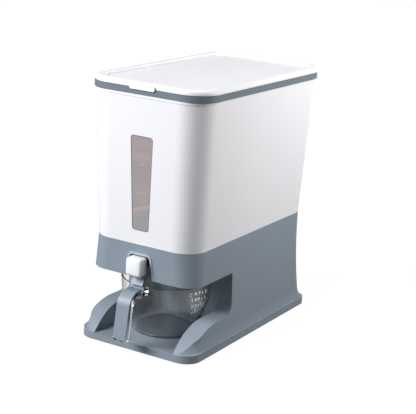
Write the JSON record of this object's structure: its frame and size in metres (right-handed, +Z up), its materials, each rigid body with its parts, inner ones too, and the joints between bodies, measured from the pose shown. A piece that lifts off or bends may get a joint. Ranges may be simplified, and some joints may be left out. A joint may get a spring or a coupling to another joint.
{
  "type": "rice dispenser",
  "caption": "Tall countertop grain hopper with hinged lid, sight window and push button above an open tray that holds a clear pull-out measuring cup.",
  "frame": {"origin": "bottom centre of the whole object's box, handle included", "axes": "+Z up, -Y the front with the window, button and cup handle, +X to the right seen from the front"},
  "size_m": [0.188, 0.383, 0.373],
  "materials": {
    "slate_plastic": "satin blue-grey moulding",
    "white_plastic": "smooth satin white",
    "dark_plastic": "plain dark moulding",
    "frost_plastic": "off-white food-grade moulding",
    "smoke_clear": "clear smoke-tinted plastic",
    "window_edge": "thin soft seal",
    "grey_rubber": "soft food-grade gasket",
    "black_rubber": "matt",
    "screw_steel": "zinc-plated",
    "spring_steel": "bright drawn wire"
  },
  "bodies": {
    "base": {"base_shell": "slate_plastic", "bottom_cover": "dark_plastic", "bottom_screws": "screw_steel", "rubber_feet": "black_rubber", "outlet_chute": "dark_plastic", "gate_track": "dark_plastic", "gate_cover": "dark_plastic", "gate_screws": "screw_steel", "return_spring_left": "spring_steel", "return_spring_right": "spring_steel", "bin_shell": "white_plastic", "bin_screws": "screw_steel", "window_pane": "smoke_clear", "window_seal": "window_edge", "hopper_funnel": "frost_plastic", "rim_band": "slate_plastic", "hinge_pins": "screw_steel"},
    "gate": {"gate_slide": "dark_plastic", "button_cap": "white_plastic"},
    "lid": {"lid_shell": "white_plastic", "lid_gasket": "grey_rubber"},
    "cup": {"cup_body": "smoke_clear", "handle_cover": "slate_plastic", "thumb_rest": "slate_plastic"}
  },
  "joints": [
    {"name": "lid_hinge", "type": "hinge", "parent": "base", "child": "lid", "pos_m": [0, 0.1873, 0.3605], "axis": [-1, 0, 0], "range_deg": [0, 100]},
    {"name": "button_press", "type": "slide", "parent": "base", "child": "gate", "axis": [0, 1, 0], "range_m": [0, 0.012], "stiffness_N_per_m": 400, "springref_m": -0.004, "deforming": ["return_spring_left", "return_spring_right"]},
    {"name": "cup_slide", "type": "slide", "parent": "base", "child": "cup", "axis": [0, -1, 0], "range_m": [0, 0.2]}
  ]
}
